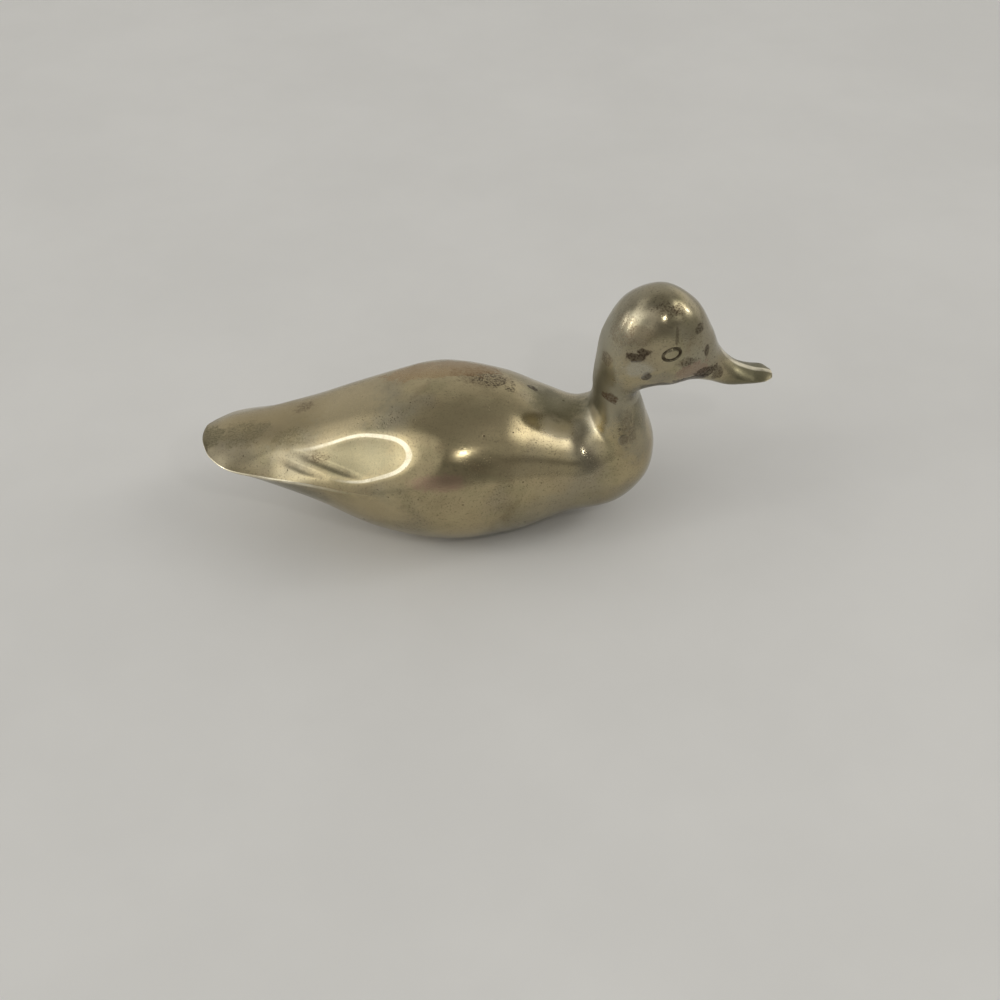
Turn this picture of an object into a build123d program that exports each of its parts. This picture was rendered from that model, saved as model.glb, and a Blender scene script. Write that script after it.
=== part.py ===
"""Standing brass duck: two hollow body halves, a solid head, brazed seams and a plug in the breast.

Frame: +X towards the bill, +Y the duck's left, +Z up.
The origin lies on the floor below the middle of the overall length. Sizes are in millimetres.
"""
import math
import os

from build123d import *

# Overall sizes
DUCK_LENGTH = 201.4
CROWN_HEIGHT = 97.0
BODY_WIDTH = 70.4

# Castings and their joints
WALL = 3.5
BODY_SEAM_WIDTH = 0.5
NECK_SEAM_THICKNESS = 0.4
SPIGOT_DIAMETER = 9.0
SPIGOT_LENGTH = 10.0
SPIGOT_CLEARANCE = 0.1
SPIGOT_END_GAP = 2.0

# Round plug in the right breast, with its place on the nominal pattern
PLUG_DIAMETER = 4.2
PLUG_LENGTH = 5.0
PLUG_CLEARANCE = 0.05
PLUG_X = 48.5
PLUG_Z = 44.4

# Struck eye ring, with its place on the nominal pattern
EYE_LENGTH = 6.0
EYE_HEIGHT = 4.2
EYE_GROOVE_WIDTH = 1.1
EYE_TILT = 20.0
EYE_X = 62.9
EYE_Z = 79.6

# Scooped hollow behind each wing, with its feather grooves
SCOOP_RIM_RADIUS = 1.2
GROOVE_WIDTH = 2.4
GROOVE_DEPTH = 0.7

# Lines of the pattern at its nominal size, from the tail to the bill. Each station is a section
# across the duck: back line point, belly line point, half width, share of the depth at which the
# section is widest, and how sharp the section is along its widest line.
NOMINAL_LENGTH = 201.4
NOMINAL_HEIGHT = 97.0
NOMINAL_WIDTH = 70.4
ROUND = 0.002  # sharpness of a section that reads as fully round
STATIONS = [
    # name, back x, back z, belly x, belly z, half width, widest share, sharpness
    ("tail end", -100.7, 36.8, -100.7, 35.4, 4.0, 0.45, 0.30),
    ("tail round", -98.4, 36.6, -98.5, 32.0, 10.8, 0.43, 0.30),
    ("tail blade", -91.7, 38.1, -91.0, 27.2, 17.1, 0.41, 0.30),
    ("tail root", -78.7, 41.0, -78.3, 21.0, 21.0, 0.39, 0.27),
    ("rump", -63.0, 45.8, -61.0, 12.5, 25.5, 0.37, 0.20),
    ("hip", -41.1, 53.0, -38.4, 0.6, 32.0, 0.38, 0.08),
    ("mid body", -15.4, 58.3, -13.9, -3.0, 35.2, 0.47, ROUND),
    ("shoulder", 5.9, 56.4, 11.9, -1.0, 30.4, 0.50, ROUND),
    ("fore body", 21.5, 49.9, 31.2, 5.8, 24.7, 0.50, ROUND),
    ("keel front", 30.2, 46.3, 49.0, 9.2, 21.2, 0.50, ROUND),
    ("breast", 36.4, 47.4, 59.2, 20.3, 19.3, 0.50, ROUND),
    ("upper breast", 38.0, 51.3, 61.2, 32.6, 17.1, 0.50, ROUND),
    ("neck root", 38.3, 55.4, 57.6, 45.0, 14.3, 0.50, ROUND),
    ("neck", 38.2, 59.4, 54.8, 53.8, 12.3, 0.50, ROUND),
    ("nape", 38.8, 66.2, 53.9, 56.5, 12.2, 0.50, ROUND),
    ("back of head", 40.8, 78.5, 54.1, 57.1, 13.6, 0.50, ROUND),
    ("crown back", 48.5, 92.1, 55.4, 57.6, 14.7, 0.50, ROUND),
    ("crown", 60.9, 96.9, 59.1, 58.6, 14.8, 0.50, ROUND),
    ("forehead", 72.2, 90.6, 64.4, 59.2, 13.5, 0.50, ROUND),
    ("face", 78.5, 80.0, 71.2, 60.9, 10.1, 0.50, ROUND),
    ("bill root", 82.1, 71.5, 77.7, 59.9, 7.5, 0.48, ROUND),
    ("bill", 87.7, 65.5, 85.1, 57.4, 5.7, 0.38, 0.05),
    ("bill flare", 94.0, 62.4, 92.8, 57.7, 5.7, 0.22, 0.12),
    ("bill round", 98.3, 61.6, 97.4, 58.2, 5.2, 0.22, 0.12),
    ("bill tip", 100.7, 61.0, 100.1, 58.7, 3.2, 0.30, 0.10),
]
NECK_STATION = 13
FIRST_HOLLOW_STATION = 3
LAST_HOLLOW_STATION = 12
STATION_STEP = 5.0
LEAST_STEPS = 3
ROUND_HANDLE = 0.5523  # handle share with which a cubic curve follows a quarter of an ellipse
QUARTER_BREAK = 0.002  # slight break that keeps the four quarter curves of a section apart

# Right scoop on the nominal pattern: four points of its rim lay out its own frame. The stations
# outside the rim have a negative depth, so the cut runs out of the skin.
SCOOP_REAR = (-75.7, -13.3, 39.3)
SCOOP_FRONT = (-25.4, -26.6, 47.4)
SCOOP_UPPER = (-40.7, -17.0, 49.6)
SCOOP_LOWER = (-42.3, -29.4, 38.1)
SCOOP_STATIONS = [
    # distance along from the middle, sideways shift, radius of the cut, depth
    (-40.0, 0.5, 9.0, -1.6),
    (-24.0, -1.6, 10.4, 1.1),
    (-14.0, -1.4, 11.2, 2.0),
    (-4.0, 0.0, 14.3, 2.8),
    (5.0, 0.9, 13.2, 2.7),
    (13.0, 1.1, 9.0, 1.7),
    (19.0, 0.8, 6.0, -1.2),
]
# Each groove has three places in the scoop: distance along, distance across
FEATHER_GROOVES = [
    ((-29.0, 0.0), (-20.0, -3.2), (-11.0, -6.6)),
    ((-22.0, 1.8), (-9.5, -1.4), (2.0, -6.2)),
]

length_factor = DUCK_LENGTH / NOMINAL_LENGTH
height_factor = CROWN_HEIGHT / NOMINAL_HEIGHT
width_factor = BODY_WIDTH / NOMINAL_WIDTH


def pattern_point(x, y, z):
    """Point of the duck, from its place on the nominal pattern."""
    return Vector(x * length_factor, y * width_factor, z * height_factor)


def run_between(first, second):
    """Length of the duck between two stations, taken along the back, the belly and the side."""
    back = math.hypot(second[1] - first[1], second[2] - first[2])
    belly = math.hypot(second[3] - first[3], second[4] - first[4])
    side = abs(second[5] - first[5])
    return (back + belly) / 2 + side / 4


def slope_at(index, column):
    """Slope of one column of the table at a station, from the stations on either side."""
    before = max(index - 1, 0)
    after = min(index + 1, len(STATIONS) - 1)
    run = sum(run_between(STATIONS[k], STATIONS[k + 1]) for k in range(before, after))
    return (STATIONS[after][column] - STATIONS[before][column]) / run


def faired_stations(first, last):
    """The stations of a stretch, with smooth in-between stations at about even steps."""
    fair = [STATIONS[first]]
    for index in range(first, last):
        run = run_between(STATIONS[index], STATIONS[index + 1])
        steps = max(LEAST_STEPS, round(run / STATION_STEP))
        for step in range(1, steps + 1):
            t = step / steps
            row = [STATIONS[index][0]]
            for column in range(1, len(STATIONS[index])):
                start = STATIONS[index][column]
                end = STATIONS[index + 1][column]
                rise = slope_at(index, column) * run
                fall = slope_at(index + 1, column) * run
                value = (2 * t**3 - 3 * t**2 + 1) * start + (t**3 - 2 * t**2 + t) * rise
                value += (3 * t**2 - 2 * t**3) * end + (t**3 - t**2) * fall
                row.append(value)
            fair.append(row)
    return fair


def section_plane(back, belly):
    """Plane of a station: local X to the duck's left, local Y from the back line to the belly line."""
    down = (belly - back).normalized()
    return Plane(origin=back, x_dir=(0, 1, 0), z_dir=Vector(0, 1, 0).cross(down))


def section_face(station, inset):
    """Face of one station, moved in from the skin by the inset."""
    name, back_x, back_z, belly_x, belly_z, half, share, sharp = station
    back = pattern_point(back_x, 0, back_z)
    belly = pattern_point(belly_x, 0, belly_z)
    half_width = half * width_factor - inset
    top = inset
    bottom = (belly - back).length - inset
    widest = top + (bottom - top) * share
    handle = half_width * ROUND_HANDLE
    crest = half_width * QUARTER_BREAK
    shoulder = half_width * (1 - sharp)
    upper = widest - (widest - top) * ROUND_HANDLE
    lower = widest + (bottom - widest) * ROUND_HANDLE
    with BuildLine(section_plane(back, belly)) as outline:
        Bezier((0, top), (handle, top + crest), (shoulder, upper), (half_width, widest))
        Bezier((half_width, widest), (shoulder, lower), (handle, bottom - crest), (0, bottom))
        Bezier((0, bottom), (-handle, bottom - crest), (-shoulder, lower), (-half_width, widest))
        Bezier((-half_width, widest), (-shoulder, upper), (-handle, top + crest), (0, top))
    return Face(outline.wire())


def scoop_cutter(growth):
    """Spoon-shaped cutter of the right scoop, lofted through circles that the growth widens."""
    with BuildPart() as cutter:
        for along, shift, radius, depth in SCOOP_STATIONS:
            with BuildSketch(scoop_frame.offset(along * length_factor)):
                with Locations((shift, radius - depth)):
                    Circle(radius + growth)
        loft()
    return cutter.part


def scoop_floor(along, across):
    """Height of the scoop's floor in the scoop's frame."""
    for first, second in zip(SCOOP_STATIONS, SCOOP_STATIONS[1:]):
        if along <= second[0]:
            break
    t = (along - first[0]) / (second[0] - first[0])
    shift, radius, depth = (a + (b - a) * t for a, b in zip(first[1:], second[1:]))
    return radius - depth - math.sqrt(radius**2 - (across - shift) ** 2)


def groove_cutter(places):
    """Round-nosed cutter of one feather groove, rising out of the scoop's floor at both ends."""
    radius = (GROOVE_WIDTH**2 / 4 + GROOVE_DEPTH**2) / (2 * GROOVE_DEPTH)
    lifts = (radius, radius - GROOVE_DEPTH, radius)
    path_points = []
    for (along, across), lift in zip(places, lifts):
        height = scoop_floor(along, across) + lift
        path_points.append(scoop_frame.from_local_coords((across, height, along * length_factor)))
    with BuildPart() as cutter:
        with BuildLine() as path:
            Spline(*path_points)
        with BuildSketch(Plane(origin=path.line @ 0, z_dir=path.line % 0)):
            Circle(radius)
        sweep()
    return cutter.part


# Outer form of the whole duck, on its flat foot
outer_sections = [section_face(station, 0) for station in faired_stations(0, len(STATIONS) - 1)]
with BuildPart() as duck_form:
    loft(outer_sections)
    split(bisect_by=Plane.XY, keep=Keep.TOP)

# Frame of the right scoop: local X up across the flank, local Y out of the flank, local Z along it
scoop_along = (pattern_point(*SCOOP_FRONT) - pattern_point(*SCOOP_REAR)).normalized()
scoop_across = pattern_point(*SCOOP_UPPER) - pattern_point(*SCOOP_LOWER)
scoop_across = (scoop_across - scoop_along * scoop_across.dot(scoop_along)).normalized()
scoop_middle = (pattern_point(*SCOOP_UPPER) + pattern_point(*SCOOP_LOWER)) / 2
scoop_frame = Plane(origin=scoop_middle, x_dir=scoop_across, z_dir=scoop_along)

# Planes of the joints: the neck seam between head and body, and the body seam on the middle plane
neck_row = STATIONS[NECK_STATION]
neck_back = pattern_point(neck_row[1], 0, neck_row[2])
neck_belly = pattern_point(neck_row[3], 0, neck_row[4])
neck_up = -section_plane(neck_back, neck_belly).z_dir
neck_plane = Plane(origin=(neck_back + neck_belly) / 2, x_dir=(0, 1, 0), z_dir=neck_up)
head_seat = neck_plane.offset(NECK_SEAM_THICKNESS / 2)
body_seat = neck_plane.offset(-NECK_SEAM_THICKNESS / 2)
right_seam_plane = Plane.XZ.offset(BODY_SEAM_WIDTH / 2)
left_seam_plane = Plane.XZ.offset(-BODY_SEAM_WIDTH / 2)

# Places on the right skin, found straight out from the middle plane
plug_line = Axis(pattern_point(PLUG_X, 0, PLUG_Z), (0, -1, 0))
plug_point, plug_normal = duck_form.part.find_intersection_points(plug_line)[-1]
plug_plane = Plane(origin=plug_point, z_dir=plug_normal)
eye_line = Axis(pattern_point(EYE_X, 0, EYE_Z), (0, -1, 0))
eye_point, eye_normal = duck_form.part.find_intersection_points(eye_line)[-1]
eye_slant = (math.cos(math.radians(EYE_TILT)), 0, math.sin(math.radians(EYE_TILT)))
eye_plane = Plane(origin=eye_point, x_dir=eye_slant, z_dir=eye_normal)

# Outer skin with the two scoops, their softened rims and their feather grooves
right_scoop = scoop_cutter(0)
right_grooves = [groove_cutter(places) for places in FEATHER_GROOVES]
with BuildPart() as skin:
    add(duck_form.part)
    add(right_scoop, mode=Mode.SUBTRACT)
    add(mirror(right_scoop, about=Plane.XZ), mode=Mode.SUBTRACT)
    scoop_rims = skin.edges().filter_by(lambda edge: edge.is_closed)
    fillet(scoop_rims, SCOOP_RIM_RADIUS)
    for groove in right_grooves:
        add(groove, mode=Mode.SUBTRACT)
        add(mirror(groove, about=Plane.XZ), mode=Mode.SUBTRACT)

# Hollow inside the body, one wall in from the skin and from the scoops
hollow_stations = faired_stations(FIRST_HOLLOW_STATION, LAST_HOLLOW_STATION)
hollow_sections = [section_face(station, WALL) for station in hollow_stations]
wall_scoop = scoop_cutter(WALL)
with BuildPart() as hollow:
    loft(hollow_sections)
    split(bisect_by=Plane.XY.offset(WALL), keep=Keep.TOP)
    add(wall_scoop, mode=Mode.SUBTRACT)
    add(mirror(wall_scoop, about=Plane.XZ), mode=Mode.SUBTRACT)

# Whole body below the neck seam, with the socket of the head's spigot
with BuildPart() as body:
    add(skin.part)
    split(bisect_by=body_seat, keep=Keep.BOTTOM)
    add(hollow.part, mode=Mode.SUBTRACT)
    with Locations(body_seat):
        Cylinder(
            SPIGOT_DIAMETER / 2 + SPIGOT_CLEARANCE,
            SPIGOT_LENGTH + SPIGOT_END_GAP,
            align=(Align.CENTER, Align.CENTER, Align.MAX),
            mode=Mode.SUBTRACT,
        )

with BuildPart() as right_shell:
    add(body.part)
    split(bisect_by=right_seam_plane, keep=Keep.TOP)
    with Locations(plug_plane):
        Cylinder(PLUG_DIAMETER / 2 + PLUG_CLEARANCE, 2 * PLUG_LENGTH, mode=Mode.SUBTRACT)

with BuildPart() as left_shell:
    add(body.part)
    split(bisect_by=left_seam_plane, keep=Keep.BOTTOM)

with BuildPart() as body_seam:
    add(body.part)
    split(bisect_by=right_seam_plane, keep=Keep.BOTTOM)
    split(bisect_by=left_seam_plane, keep=Keep.TOP)

with BuildPart() as neck_seam:
    add(duck_form.part)
    split(bisect_by=body_seat, keep=Keep.TOP)
    split(bisect_by=head_seat, keep=Keep.BOTTOM)
    with Locations(neck_plane):
        Cylinder(SPIGOT_DIAMETER / 2 + SPIGOT_CLEARANCE, SPIGOT_LENGTH, mode=Mode.SUBTRACT)

with BuildPart() as eye_rings:
    with BuildLine(eye_plane) as eye_ring:
        EllipticalCenterArc((0, 0), EYE_LENGTH / 2, EYE_HEIGHT / 2, start_angle=0, arc_size=360)
    with BuildSketch(Plane(origin=eye_ring.line @ 0, z_dir=eye_ring.line % 0)):
        Circle(EYE_GROOVE_WIDTH / 2)
    sweep()
    mirror(about=Plane.XZ)

with BuildPart() as head:
    add(duck_form.part)
    split(bisect_by=head_seat, keep=Keep.TOP)
    add(eye_rings.part, mode=Mode.SUBTRACT)
    with Locations(head_seat):
        Cylinder(
            SPIGOT_DIAMETER / 2,
            SPIGOT_LENGTH + NECK_SEAM_THICKNESS,
            align=(Align.CENTER, Align.CENTER, Align.MAX),
        )

with BuildPart() as breast_plug:
    with Locations(plug_plane):
        Cylinder(PLUG_DIAMETER / 2, 2 * PLUG_LENGTH)
    add(duck_form.part, mode=Mode.INTERSECT)

right_shell.part.label = "right_shell"
left_shell.part.label = "left_shell"
body_seam.part.label = "body_seam"
head.part.label = "head"
neck_seam.part.label = "neck_seam"
breast_plug.part.label = "breast_plug"

os.makedirs("parts", exist_ok=True)
export_step(right_shell.part, "parts/right_shell.step")
export_step(left_shell.part, "parts/left_shell.step")
export_step(body_seam.part, "parts/body_seam.step")
export_step(head.part, "parts/head.step")
export_step(neck_seam.part, "parts/neck_seam.step")
export_step(breast_plug.part, "parts/breast_plug.step")
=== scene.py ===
import math

import bmesh
import bpy
from mathutils import Matrix, Vector
from mathutils.bvhtree import BVHTree


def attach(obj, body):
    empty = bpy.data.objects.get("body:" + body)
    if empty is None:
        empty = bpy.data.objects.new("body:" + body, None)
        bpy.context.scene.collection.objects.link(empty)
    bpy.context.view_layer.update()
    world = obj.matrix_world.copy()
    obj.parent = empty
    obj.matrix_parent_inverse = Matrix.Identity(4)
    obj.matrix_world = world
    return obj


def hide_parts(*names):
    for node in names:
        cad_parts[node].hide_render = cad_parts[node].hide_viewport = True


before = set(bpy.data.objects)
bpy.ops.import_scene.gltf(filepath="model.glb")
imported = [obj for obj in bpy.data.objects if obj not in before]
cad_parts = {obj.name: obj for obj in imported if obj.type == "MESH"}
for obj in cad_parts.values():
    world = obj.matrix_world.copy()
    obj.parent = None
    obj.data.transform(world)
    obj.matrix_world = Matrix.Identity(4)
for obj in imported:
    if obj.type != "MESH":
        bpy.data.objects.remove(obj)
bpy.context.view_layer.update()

MM = 0.001
MERGE_GAP = 0.002 * MM
SHORTEST_EDGE = 0.001 * MM
CREASE_ANGLE = math.radians(40)

# Lines of the duck in millimetres, from the tail to the bill: back line point, belly line point,
# half width, share of the depth at which the section is widest, sharpness along the widest line.
STATIONS = [
    (-100.7, 36.8, -100.7, 35.4, 5.9, 0.45, 0.30),  # tail end
    (-98.4, 36.6, -98.5, 32.0, 10.8, 0.43, 0.30),  # tail round
    (-91.7, 38.1, -91.0, 27.2, 17.1, 0.41, 0.30),  # tail blade
    (-78.7, 41.0, -78.3, 21.0, 21.0, 0.39, 0.27),  # tail root
    (-63.0, 45.8, -61.0, 12.5, 25.5, 0.37, 0.20),  # rump
    (-41.1, 53.0, -38.4, 0.6, 32.0, 0.38, 0.08),  # hip
    (-15.4, 58.3, -13.9, -3.0, 35.2, 0.47, 0.0),  # mid body
    (5.9, 56.4, 11.9, -1.0, 30.4, 0.50, 0.0),  # shoulder
    (21.5, 49.9, 31.2, 5.8, 24.7, 0.50, 0.0),  # fore body
    (30.2, 46.3, 49.0, 9.2, 21.2, 0.50, 0.0),  # keel front
    (36.4, 47.4, 59.2, 20.3, 19.3, 0.50, 0.0),  # breast
    (38.0, 51.3, 61.2, 32.6, 17.1, 0.50, 0.0),  # upper breast
    (38.3, 55.4, 57.6, 45.0, 14.3, 0.50, 0.0),  # neck root
    (38.2, 59.4, 54.8, 53.8, 12.3, 0.50, 0.0),  # neck
    (38.8, 66.2, 53.9, 56.5, 12.2, 0.50, 0.0),  # nape
    (40.8, 78.5, 54.1, 57.1, 13.6, 0.50, 0.0),  # back of head
    (48.5, 92.1, 55.4, 57.6, 14.7, 0.50, 0.0),  # crown back
    (60.9, 96.9, 59.1, 58.6, 14.8, 0.50, 0.0),  # crown
    (72.2, 90.6, 64.4, 59.2, 13.5, 0.50, 0.0),  # forehead
    (78.5, 80.0, 71.2, 60.9, 10.1, 0.50, 0.0),  # face
    (82.1, 71.5, 77.7, 59.9, 7.5, 0.48, 0.0),  # bill root
    (87.7, 65.5, 85.1, 57.4, 5.7, 0.45, 0.02),  # bill
    (94.0, 62.4, 92.8, 57.7, 5.8, 0.30, 0.20),  # bill flare
    (98.3, 61.6, 97.4, 58.2, 5.4, 0.24, 0.30),  # bill round
    (100.7, 61.0, 100.1, 58.7, 3.2, 0.30, 0.30),  # bill tip
]
NECK = 13
BILL_TIP = len(STATIONS) - 1
FIRST_HOLLOW = 3
LAST_HOLLOW = 12

# A cubic curve with handles of this share follows a quarter of an ellipse
ROUND_HANDLE = 0.5523

# A cubic leaves its end at three times its handle, and a half section has two cubics in its turn
CURVE_END_SPEED = 6.0
WIDEST_HANDLE_DEPTH = 0.2  # handle at the widest line, about this share of the depth

# Castings and their joints
WALL = 3.5
BODY_SEAM_WIDTH = 0.5
BODY_SEAM_DEPTH = 0.5
NECK_SEAM_THICKNESS = 0.4
SPIGOT_RADIUS = 4.5
SPIGOT_LENGTH = 10.0
SPIGOT_CLEARANCE = 0.1
SEAT_INSET = 1.0

# Rounded ends, worn ridges and the rise along the top of the bill. The shine widths give where the colour is
# lightened as rubbed brass and as a painted highlight.
TAIL_EDGE = 0.9
BILL_EDGE = 0.7
CAP_SHARES = (0.0, 0.3, 0.55, 0.75, 0.9)  # shares to which an end section is drawn in
CULMEN_RISE = 0.5
CULMEN_WEAR = 0.5
TAIL_RIDGE_WEAR = 0.7
BILL_RIDGE_WEAR = 0.4
FOOT_SOFTNESS = 0.8
LEAST_SHARPNESS = 0.005
FULL_SHARPNESS = 0.25
RIDGE_SAMPLES = 4
RIDGE_SHINE_WIDTH = 1.2
CULMEN_SHINE_WIDTHS = (2.2, 1.5)
BILL_RIM_SHINE_WIDTH = 0.7

# Places along the bill, counted in stations, and the runs over which each change comes in
CULMEN_PLACE = BILL_TIP - 4
CULMEN_RISE_RUN = 2
CULMEN_NARROWING_RUN = 3
CULMEN_SHINE_PLACE = BILL_TIP - 4.4
CULMEN_SHINE_RUN = 0.8
BILL_RIM_PLACE = BILL_TIP - 1.6

# Scoop behind the right wing. Four points of its rim give its own frame. Its stations hold the
# distance along, the shift across, the radius of the cut and its depth below the middle point.
SCOOP_REAR = Vector((-75.7, -13.3, 39.3))
SCOOP_FRONT = Vector((-25.4, -26.6, 47.4))
SCOOP_UPPER = Vector((-40.7, -17.0, 49.6))
SCOOP_LOWER = Vector((-42.3, -29.4, 38.1))
SCOOP_STATIONS = [
    (-46.0, 0.3, 30.0, -2.3),
    (-36.0, -1.2, 50.0, -0.3),
    (-29.0, -2.2, 65.0, -0.1),
    (-24.0, -2.6, 65.0, -0.14),
    (-14.0, -1.8, 60.0, -0.03),
    (-4.0, -0.4, 64.0, 0.22),
    (5.0, 0.7, 60.0, 0.17),
    (12.0, 0.9, 45.0, 0.08),
    (20.0, 1.0, 30.0, -0.72),
    (26.0, 1.0, 30.0, -1.5),
    (34.0, 1.0, 30.0, -4.0),
]
SCOOP_SOFTNESS = 0.7

# Rubbed lip of the scoop, rolled over in its shape and lightened in its colour as worn brass and as a
# painted highlight. A fade starts at a distance along and comes in over a run.
LIP_SHINE_HEIGHT = 0.42
LIP_ROLL_DEPTH = 0.95
LIP_ROLL_REACH = 5.0
LIP_BLEND = 12.0
LIP_FADE_UPPER = (-37.0, 22.0)
LIP_FADE_LOWER = (-20.0, 24.0)
# The painted lip highlight grows brighter towards the front of the lip
LIP_BRIGHT = (-22.0, 24.0)
LIP_FAINTEST = 0.5
SIDE_WEAR_AND_SHINE = {-1: 1.0, 1: 0.6}  # share of the rubbed and painted shine on the right half and the left half

# Feather grooves in the scoop, each by three places along and across
FEATHER_GROOVES = [
    ((-33.0, -1.6), (-23.0, -5.0), (-13.0, -8.2)),
    ((-28.4, 1.4), (-13.8, -3.2), (0.8, -8.0)),
]
GROOVE_WIDTH = 3.6
GROOVE_DEPTH = 0.15
GROOVE_HEIGHTS = (-8.0, 4.0)  # only skin between these heights over the scoop's middle is grooved

# Struck eye ring
EYE = Vector((62.9, -14.45, 79.6))
EYE_LENGTH = 6.0
EYE_HEIGHT = 4.2
EYE_TILT = math.radians(20)
EYE_GROOVE_WIDTH = 1.4
EYE_GROOVE_DEPTH = 0.5
EYE_GROOVE_FLANK = 1.5  # a higher power gives a narrower floor

# Round plug in the right breast
PLUG = Vector((48.5, -16.49, 44.4))
PLUG_OUT = Vector((0.132, -0.932, 0.339)).normalized()
PLUG_RADIUS = 2.1
PLUG_LENGTH = 5.0
PLUG_SEGMENTS = 64
PLUG_RINGS = (0.12, 0.16, 0.4, 0.5, 0.5)  # widths from the edge inwards
PLUG_STAND = 0.06
PLUG_EDGE_DROP = 0.05
PLUG_EDGE_WIDTH = 0.25
PLUG_PROBE = 4.0

# Spacing of the mesh rows on the stretches between stations, in millimetres, and steps up to each turn
BODY_STEPS = {0: 0.7, 1: 0.7, 2: 0.7, 3: 0.42, 4: 0.42, 5: 0.42, "other": 0.9}
BODY_TURNS = ((0.12, 12), (0.47, 68), (0.53, 16), (1.0, 38))
HOLLOW_STEPS = {"other": 3.0}
HOLLOW_TURNS = ((1.0, 40),)
SEAM_STEPS = {"other": 0.9}
HEAD_STEPS = {16: 0.25, 17: 0.25, "other": 0.55}
HEAD_TURNS = ((0.25, 18), (0.45, 36), (0.55, 22), (0.62, 12), (1.0, 22))
NECK_RING_TURNS = ((1.0, 60),)


def run_between(first, second):
    """Length of the duck between two stations, taken along the back, the belly and the side."""
    back = math.hypot(second[0] - first[0], second[1] - first[1])
    belly = math.hypot(second[2] - first[2], second[3] - first[3])
    return (back + belly) / 2 + abs(second[4] - first[4]) / 4


def slopes_of(table, runs):
    """Slope of every column at every row, from the rows on either side."""
    slopes = []
    for index in range(len(table)):
        before = max(index - 1, 0)
        after = min(index + 1, len(table) - 1)
        run = sum(runs[before:after])
        slopes.append([(b - a) / run for a, b in zip(table[before], table[after])])
    return slopes


BODY_RUNS = [run_between(a, b) for a, b in zip(STATIONS, STATIONS[1:])]
BODY_SLOPES = slopes_of(STATIONS, BODY_RUNS)
SCOOP_RUNS = [b[0] - a[0] for a, b in zip(SCOOP_STATIONS, SCOOP_STATIONS[1:])]
SCOOP_SLOPES = slopes_of(SCOOP_STATIONS, SCOOP_RUNS)
NECK_BELOW = NECK - NECK_SEAM_THICKNESS / 2 / BODY_RUNS[NECK - 1]
NECK_ABOVE = NECK + NECK_SEAM_THICKNESS / 2 / BODY_RUNS[NECK]


def faired(table, runs, slopes, index, t):
    """Smooth row between two rows of a table."""
    run = runs[index]
    row = []
    for start, end, rise, fall in zip(table[index], table[index + 1], slopes[index], slopes[index + 1]):
        value = (2 * t**3 - 3 * t**2 + 1) * start + (t**3 - 2 * t**2 + t) * rise * run
        value += (3 * t**2 - 2 * t**3) * end + (t**3 - t**2) * fall * run
        row.append(value)
    return row


def station_at(place):
    """Station of the duck at a place counted in stations from the tail, with its end drawn round."""
    index = min(int(place), len(STATIONS) - 2)
    row = faired(STATIONS, BODY_RUNS, BODY_SLOPES, index, place - index)
    if place < 1:
        end, tail_round = STATIONS[0], STATIONS[1]
        along = (row[0] - end[0]) / (tail_round[0] - end[0])
        row[4] = math.sqrt(end[4] ** 2 + along * (tail_round[4] ** 2 - end[4] ** 2))
    return row


def section_point(row, turn, inset=0.0):
    """Point of a right section. The turn is 0 on the back line, 0.5 at the widest, 1 on the belly line."""
    back = Vector((row[0], 0, row[1]))
    down = Vector((row[2], 0, row[3])) - back
    half = row[4] - inset
    top = inset
    bottom = down.length - inset
    widest = top + (bottom - top) * row[5]
    shoulder = half * (1 - row[6])
    if turn <= 0.5:
        t = 2 * turn
        outs = (0, half * ROUND_HANDLE, shoulder, half)
        depths = (top, top, widest - (widest - top) * ROUND_HANDLE, widest)
    else:
        t = 2 * turn - 1
        outs = (half, shoulder, half * ROUND_HANDLE, 0)
        depths = (widest, widest + (bottom - widest) * ROUND_HANDLE, bottom, bottom)
    shares = ((1 - t) ** 3, 3 * t * (1 - t) ** 2, 3 * t**2 * (1 - t), t**3)
    point = back + down.normalized() * sum(s * d for s, d in zip(shares, depths))
    point.y = -sum(s * o for s, o in zip(shares, outs))
    return point


def skin_per_turn(row):
    """Length of skin per turn where a section is widest, from the end handles of its curves."""
    depth = math.hypot(row[2] - row[0], row[3] - row[1])
    return CURVE_END_SPEED * math.hypot(row[4] * row[6], WIDEST_HANDLE_DEPTH * depth)


def skin_point(row, turn, wear):
    """Point of the right skin, with the ridge along the widest line worn round."""
    reach = wear / skin_per_turn(row)
    if row[6] < LEAST_SHARPNESS or abs(turn - 0.5) > reach:
        return section_point(row, turn)
    steps = range(-RIDGE_SAMPLES, RIDGE_SAMPLES + 1)
    spread = [section_point(row, turn + reach * step / RIDGE_SAMPLES) for step in steps]
    return sum(spread, Vector()) / len(spread)


def held(value):
    """Value held between 0 and 1."""
    return max(0.0, min(1.0, value))


def hump(gap):
    """Share that falls smoothly from 1 at no gap to 0 at a gap of 1."""
    return max(0.0, 1 - gap**2) ** 2


def eased(value):
    """Share from 0 to 1 that starts and ends gently."""
    t = held(value)
    return t**2 * (3 - 2 * t)


def soft_min(a, b, softness):
    """The smaller of two heights, with a rounded change from one to the other."""
    h = held(0.5 + 0.5 * (b - a) / softness)
    return b + (a - b) * h - softness * h * (1 - h)


scoop_along = (SCOOP_FRONT - SCOOP_REAR).normalized()
scoop_across = SCOOP_UPPER - SCOOP_LOWER
scoop_across = (scoop_across - scoop_along * scoop_across.dot(scoop_along)).normalized()
scoop_out = scoop_along.cross(scoop_across)
scoop_middle = (SCOOP_UPPER + SCOOP_LOWER) / 2


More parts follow.
